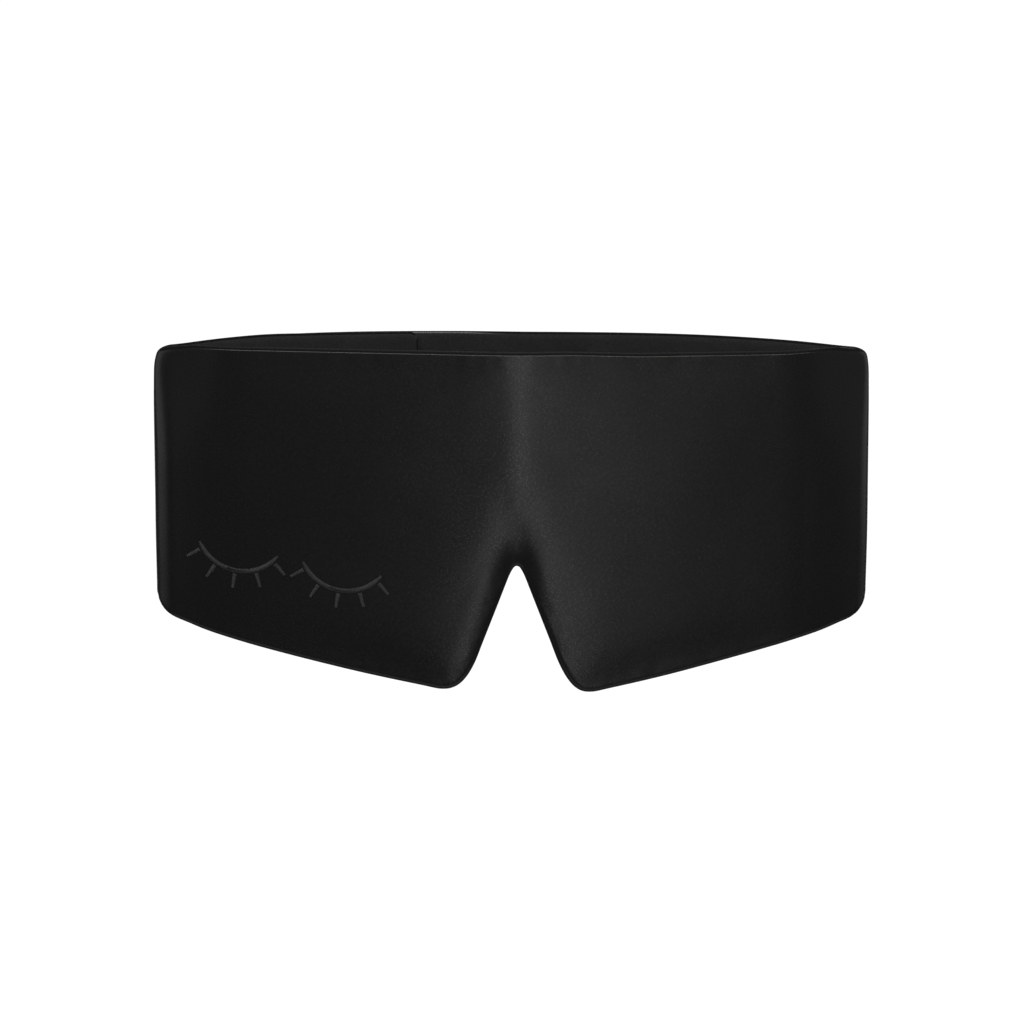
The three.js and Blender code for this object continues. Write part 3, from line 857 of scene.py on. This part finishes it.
left_places = -stations(S_FACE_END, S_LEFT_TIP, coarse=1.4, free=True, end_roll=LEFT_TIP_CORNER)
left_lining = lining("left_wing_lining_cloth", left_places, 0.3 * MM, free=True)
bend_wing(left_lining)
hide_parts("left_wing_lining")

tab_places = stations(S_SPLIT, S_TAB_END, coarse=1.4, free=True)
tab_lining = lining("tab_lining_cloth", tab_places, 0.2 * MM, free=True)
bend_tab(tab_lining)
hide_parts("tab_lining")


# ---- the two tapes and their stitches ----

def s_on_face(x):
    front = (PATH_S > -S_FOLD) & (PATH_S < S_FOLD)
    return float(np.interp(x, PATH[front][:, 0], PATH_S[front]))


def share_at(s, z):
    low, high = bottom(s), top(s)
    return (z - low) / (high - low)


def rounded(width, height, corner, count):
    """Half widths across at even heights of a rectangle with rounded corners, and those heights."""
    turn = np.linspace(0, math.pi / 2, 7)
    low = -height / 2 + corner * (1 - np.cos(turn))
    z = np.concatenate([low, np.linspace(low[-1], -low[-1], count)[1:-1], -low[::-1]])
    drop = corner - np.sqrt(np.maximum(corner**2 - np.maximum(np.abs(z) - height / 2 + corner, 0) ** 2, 0))
    return width / 2 - drop, z


def middle_of(node, side):
    """The middle of a tape as (s, z), on the right half (1) or the left (-1), and its width and height."""
    low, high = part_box(node)
    middle_s = side * s_at_back(side * (low.x + high.x) / 2)
    return middle_s, (low.z + high.z) / 2, high.x - low.x, high.z - low.z


def patch(name, node, side, face_side, base, thick, corner, material, slot, curl=None):
    """A thin cloth patch in the place of a CAD node, lying base above one side of the cover."""
    middle_s, middle_z, width, height = middle_of(node, side)
    half_widths, heights = rounded(width, height, corner, 24)
    across = np.linspace(-1, 1, 27)
    across = np.sign(across) * (1 - (1 - np.abs(across)) ** 1.4)
    s = middle_s - across[:, None] * half_widths
    z = middle_z + heights + np.zeros(s.shape)
    edge = rim(np.minimum(1 - np.abs(across)[:, None], (1 - np.abs(heights / heights.max()))) / 0.06)
    extra = np.zeros(s.shape)
    if curl is not None:
        extra = curl(across[:, None] + np.zeros(s.shape), heights / heights.max())
    share = share_at(s, z)
    under = surface(s, share, face_side, lift=base + extra)
    over = surface(s, share, face_side, lift=base + extra + thick * (0.35 + 0.65 * edge))
    cloth = np.stack([s, z, np.ones(s.shape)], axis=-1)
    columns, rows = s.shape
    index = np.arange(2 * columns * rows).reshape(2, columns, rows)
    faces = []
    for i in range(columns - 1):
        for j in range(rows - 1):
            a, b, c, d = index[0, i, j], index[0, i + 1, j], index[0, i + 1, j + 1], index[0, i, j + 1]
            faces += [(d, c, b, a), tuple(v + columns * rows for v in (a, b, c, d))]
    loop = [(i, 0) for i in range(columns)] + [(columns - 1, j) for j in range(1, rows)]
    loop += [(i, rows - 1) for i in range(columns - 2, -1, -1)] + [(0, j) for j in range(rows - 2, 0, -1)]
    for (i, j), (k, m) in zip(loop, loop[1:] + loop[:1]):
        faces.append((index[0, i, j], index[0, k, m], index[1, k, m], index[1, i, j]))
    verts = np.concatenate([under.reshape(-1, 3), over.reshape(-1, 3)])
    tags = np.concatenate([cloth.reshape(-1, 3)] * 2)
    piece = new_mesh(name, verts, [tuple(int(v) for v in face) for face in faces], tags)
    turn_out(piece)
    return finish_piece(piece, material)


def turn_out(piece):
    """Makes every face of a closed mesh look outwards."""
    mesh = bmesh.new()
    mesh.from_mesh(piece.data)
    bmesh.ops.recalc_face_normals(mesh, faces=mesh.faces)
    mesh.to_mesh(piece.data)
    mesh.free()


def threads(name, paths, radius, sides=5):
    """Many short closed strands as one mesh. Each path is a list of points; radius may change along it."""
    paths = np.asarray(paths)
    count, steps = paths.shape[:2]
    radius = np.broadcast_to(radius, (count, steps))
    forward = np.gradient(paths, axis=1)
    forward /= np.maximum(np.linalg.norm(forward, axis=2, keepdims=True), 1e-12)
    helper = np.where(np.abs(forward[..., 2:3]) > 0.9, np.array([1.0, 0, 0]), np.array([0, 0, 1.0]))
    first = np.cross(forward, helper)
    first /= np.linalg.norm(first, axis=2, keepdims=True)
    second = np.cross(forward, first)
    angles = np.arange(sides) * 2 * math.pi / sides
    ring = first[:, :, None] * np.cos(angles)[:, None] + second[:, :, None] * np.sin(angles)[:, None]
    points = paths[:, :, None] + ring * radius[:, :, None, None]
    block = steps * sides
    faces = []
    for i in range(steps - 1):
        for j in range(sides):
            k = (j + 1) % sides
            faces.append((i * sides + j, i * sides + k, (i + 1) * sides + k, (i + 1) * sides + j))
    faces.append(tuple(range(sides))[::-1])
    faces.append(tuple((steps - 1) * sides + j for j in range(sides)))
    every = [tuple(v + n * block for v in face) for n in range(count) for face in faces]
    return new_mesh(name, points.reshape(-1, 3), every)


def arch(a, b, lift_low, lift_high, count=5):
    """Shares and lifts for a short strand that rises out of the cloth at a and goes back in at b."""
    t = np.linspace(0, 1, count)
    flat = np.array(a) + (np.array(b) - np.array(a)) * t[:, None]
    lift = lift_low + (lift_high - lift_low) * np.sin(math.pi * t) ** 0.6
    return np.column_stack([flat, lift])


def lay(strands, side):
    """Strands given as (s, z, lift) become points in space on one side of the cover."""
    strands = np.asarray(strands)
    s, z, lift = strands[..., 0], strands[..., 1], strands[..., 2]
    return surface(s, share_at(s, z), side, lift=lift)


def ring_stitches(name, node, side, low_lift, high_lift):
    """Zigzag stitches just inside the edge of a tape."""
    middle_s, middle_z, width, height = middle_of(node, side)
    width, height = width - 2 * STITCH_INSET, height - 2 * STITCH_INSET
    corner = 2 * MM
    count = int(2 * (width + height - 4 * corner) / STITCH_SPACING)
    total = 2 * (width + height)
    out = []
    for k in range(count):
        ends = []
        for m, push in ((k, -STITCH_PUSH), (k + 0.5, STITCH_PUSH)):
            distance = (m % count) / count * total
            if distance < width:
                x, z, dx, dz = -width / 2 + distance, -height / 2, 0, 1
            elif distance < width + height:
                x, z, dx, dz = width / 2, -height / 2 + distance - width, -1, 0
            elif distance < 2 * width + height:
                x, z, dx, dz = width / 2 - (distance - width - height), height / 2, 0, -1
            else:
                x, z, dx, dz = -width / 2, height / 2 - (distance - 2 * width - height), 1, 0
            ends.append((middle_s + x + dx * push, middle_z + z + dz * push))
        out.append(arch(ends[0], ends[1], low_lift, high_lift))
    return finish_piece(threads(name, lay(out, -side), 0.16 * MM), THREAD)


PLAIN_BORDER = 2.6 * MM  # the tapes have no hooks or loops this near their edges
HOOK_HEIGHT = 0.92
HOOK_BEND = [(0, 0.6), (0.02, 1.05), (0.12, 1.32), (0.32, 1.4), (0.5, 1.22)]  # millimetres along and up
LOOP_ROOT = 0.55 * MM
STITCH_PUSH = 0.55 * MM  # each stitch leans this far to either side of its line
STITCH_INSET, STITCH_SPACING = 1.3 * MM, 1.7 * MM

hook_tape = patch("hook_tape", "hook_patch", 1, -1, 0.35 * MM, 0.45 * MM, 3 * MM, TAPE, "tape")
bend_tab(hook_tape)
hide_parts("hook_patch")

loop_tape = patch("loop_tape", "loop_patch", -1, 1, 0.25 * MM, 0.45 * MM, 3 * MM, TAPE, "tape")
bend_wing(loop_tape)
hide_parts("loop_patch")

random.seed(7)


def spots(node, side, pitch):
    """Even places on a tape inside its plain border, as (column, s, z)."""
    middle_s, middle_z, width, height = middle_of(node, side)
    wide, tall = width / 2 - PLAIN_BORDER, height / 2 - PLAIN_BORDER
    for i, u in enumerate(np.arange(-wide, wide, pitch)):
        for v in np.arange(-tall, tall, pitch):
            yield i, middle_s + u, middle_z + v


def hook_rows():
    """Small bent hooks in rows, alternate rows facing opposite ways."""
    out = []
    for i, s, z in spots("hook_patch", 1, 1.45 * MM):
        way = 1 if i % 2 else -1
        across = s + random.uniform(-0.08, 0.08) * MM
        out.append([(across, z + way * a * MM, b * MM * HOOK_HEIGHT) for a, b in HOOK_BEND])
    return out


def fuzz_loops():
    """Soft knitted loops standing up from the tape at random."""
    out = []
    for _, s, z in spots("loop_patch", -1, 1.5 * MM):
        angle = random.uniform(0, math.pi)
        reach, rise = random.uniform(0.4, 0.9) * MM, random.uniform(0.9, 1.25) * MM
        s = s + random.uniform(-0.4, 0.4) * MM
        z = z + random.uniform(-0.4, 0.4) * MM
        loop = []
        for t in np.linspace(-1, 1, 5):
            lift = LOOP_ROOT + (rise - LOOP_ROOT) * (1 - t * t)
            loop.append((s + reach * t * math.cos(angle), z + reach * t * math.sin(angle), lift))
        out.append(loop)
    return out


hooks = finish_piece(threads("hooks", lay(hook_rows(), -1), 0.1 * MM, 4), NYLON)
bend_tab(hooks)

loops = finish_piece(threads("loops", lay(fuzz_loops(), 1), 0.07 * MM, 3), NYLON)
bend_wing(loops)

hook_stitches = ring_stitches("hook_tape_stitches", "hook_patch", 1, 0.55 * MM, 0.95 * MM)
bend_tab(hook_stitches)
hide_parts("hook_patch_stitching")

loop_stitches = ring_stitches("loop_tape_stitches", "loop_patch", -1, 0.45 * MM, 0.85 * MM)
bend_wing(loop_stitches)
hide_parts("loop_patch_stitching")


# ---- the care label ----

def label_curl(across, up):
    """The free lower end of the label stands off a little."""
    return 0.9 * MM * np.clip(0.5 - up, 0, 1.5) ** 2 + 0.15 * MM * (1 - across**2) * (1 - up)


label_size = (0.4 * MM, 0.3 * MM, 0.6 * MM)
label = patch("care_label_cloth", "care_label", 1, -1, *label_size, LABEL, "label", label_curl)
bend_wing(label)
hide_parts("care_label")


# ---- embroidery: two closed eyelids in satin stitch ----

LID_RADIUS = 17 * MM
LID_HALF_ANGLE = math.radians(58)
LID_TILT = math.radians(-9.5)
LID_STROKE = 1.55 * MM
LASH = 6.5 * MM
LASH_PLACES = (-0.86, -0.43, 0, 0.43, 0.86)
LID_CENTRES = {"left_lid": (-101 * MM, -15.5 * MM), "right_lid": (-63 * MM, -22 * MM)}
STITCH_PITCH = 0.5 * MM


def cross_stitch(x, z, along_x, along_z, width):
    """One strand across a stroke that runs in this direction, a little aslant."""
    across_x, across_z = -along_z, along_x
    ends = []
    for way in (-0.5, 0.5):
        px = x + across_x * width * way + along_x * 0.12 * MM * way
        pz = z + across_z * width * way + along_z * 0.12 * MM * way
        ends.append((s_on_face(px), pz))
    return arch(ends[0], ends[1], -0.15 * MM, 0.36 * MM)


def eyelid(x, z):
    strands = []
    middle = math.radians(270) + LID_TILT
    steps = int(2 * LID_HALF_ANGLE * LID_RADIUS / STITCH_PITCH)
    for k in range(steps + 1):
        angle = middle + LID_HALF_ANGLE * (2 * k / steps - 1)
        taper = min(1.0, 0.45 + 6 * min(k, steps - k) / steps)
        px, pz = x + LID_RADIUS * math.cos(angle), z + LID_RADIUS * math.sin(angle)
        width = LID_STROKE * taper * random.uniform(0.96, 1.04)
        strands.append(cross_stitch(px, pz, -math.sin(angle), math.cos(angle), width))
    for place in LASH_PLACES:
        angle = middle + place * LID_HALF_ANGLE
        count = int(LASH / STITCH_PITCH)
        for k in range(3, count + 1):
            reach = LID_RADIUS + LASH * k / count
            width = LID_STROKE * (1 - 0.45 * k / count) * random.uniform(0.95, 1.05)
            px, pz = x + reach * math.cos(angle), z + reach * math.sin(angle)
            strands.append(cross_stitch(px, pz, math.cos(angle), math.sin(angle), width))
    return strands


for lid_name, centre in LID_CENTRES.items():
    lid = finish_piece(threads(lid_name, lay(eyelid(*centre), 1), 0.19 * MM), THREAD)
    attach(lid, "face_panel")
    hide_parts(lid_name.replace("_lid", "_embroidered_lid"))


# ---- studio ----

PALE = 1.05  # brightness of the floor and the background, as the camera sees them
FLOOR_DROP = 0.22

pale = bpy.data.materials.new("pale_floor")
pale.use_nodes = True
tree = pale.node_tree
tree.nodes.clear()
glow = tree.nodes.new("ShaderNodeEmission")
glow.inputs["Color"].default_value = (1, 1, 1, 1)
glow.inputs["Strength"].default_value = PALE
tree.links.new(glow.outputs[0], tree.nodes.new("ShaderNodeOutputMaterial").inputs[0])

corners = [(x * 60, y * 60, LOW[2] - FLOOR_DROP) for x, y in ((-1, -1), (1, -1), (1, 1), (-1, 1))]
floor = new_mesh("floor", corners, [(0, 1, 2, 3)])
floor.data.materials.append(pale)
floor.visible_diffuse = floor.visible_glossy = floor.visible_shadow = False

world = bpy.data.worlds.new("studio")
bpy.context.scene.world = world
world.use_nodes = True
sky = world.node_tree
sky.nodes.clear()
seen = sky.nodes.new("ShaderNodeBackground")
seen.inputs["Strength"].default_value = PALE
soft = sky.nodes.new("ShaderNodeBackground")
soft.inputs["Strength"].default_value = 0.06
rays = sky.nodes.new("ShaderNodeLightPath")
choose = sky.nodes.new("ShaderNodeMixShader")
for node in (seen, soft):
    node.inputs["Color"].default_value = (1, 1, 1, 1)
sky.links.new(rays.outputs["Is Camera Ray"], choose.inputs[0])
sky.links.new(soft.outputs[0], choose.inputs[1])
sky.links.new(seen.outputs[0], choose.inputs[2])
sky.links.new(choose.outputs[0], sky.nodes.new("ShaderNodeOutputWorld").inputs[0])

MIDDLE = Vector((0, 0, (LOW[2] + HIGH[2]) / 2))


def stand(data, target, azimuth, elevation, distance):
    """Puts a lamp or the camera this far from a target, facing it."""
    a, e = math.radians(azimuth), math.radians(elevation)
    way = Vector((math.sin(a) * math.cos(e), -math.cos(a) * math.cos(e), math.sin(e)))
    thing = bpy.data.objects.new(data.name, data)
    thing.location = target + way * distance
    thing.rotation_mode = "QUATERNION"
    thing.rotation_quaternion = way.to_track_quat("Z", "Y")
    bpy.context.scene.collection.objects.link(thing)
    return thing


for name, azimuth, elevation, distance, width, height, power in (
    ("key", 6, 9, 1.2, 0.1, 1.5, 2.05),
    ("key_side", 16, 9, 1.2, 0.2, 1.5, 0.36),
    ("left_fill", -36, 8, 1.5, 0.3, 1.2, 0.22),
    ("right_fill", 54, 8, 1.5, 0.9, 1.2, 0.6),
    ("left_rim", -82, 10, 1.2, 0.9, 1.0, 2.2),
    ("right_rim", 95, 10, 1.2, 0.8, 1.0, 1.5),
    ("high_front", 0, 48, 1.2, 1.2, 0.35, 8),
    ("back", 180, -10, 1.4, 1.6, 0.6, 2.4),
    ("bounce", 0, -68, 0.9, 1.8, 0.6, 1.5),
):
    light = bpy.data.lights.new(name, "AREA")
    light.shape = "RECTANGLE"
    light.size, light.size_y = width, height
    light.energy = power
    stand(light, MIDDLE, azimuth, elevation, distance).visible_camera = False

CAMERA_AZIMUTH, CAMERA_ELEVATION = -4.48, 12.34
CAMERA_DISTANCE = 2.1213
CAMERA_TARGET = Vector((0, 0, -0.0139))

camera_data = bpy.data.cameras.new("camera")
camera_data.lens = 200
camera_data.sensor_width = 36
camera_data.clip_start, camera_data.clip_end = 0.05, 120
bpy.context.scene.camera = stand(
    camera_data, CAMERA_TARGET, CAMERA_AZIMUTH, CAMERA_ELEVATION, CAMERA_DISTANCE
)
bpy.context.scene.view_settings.view_transform = "Standard"
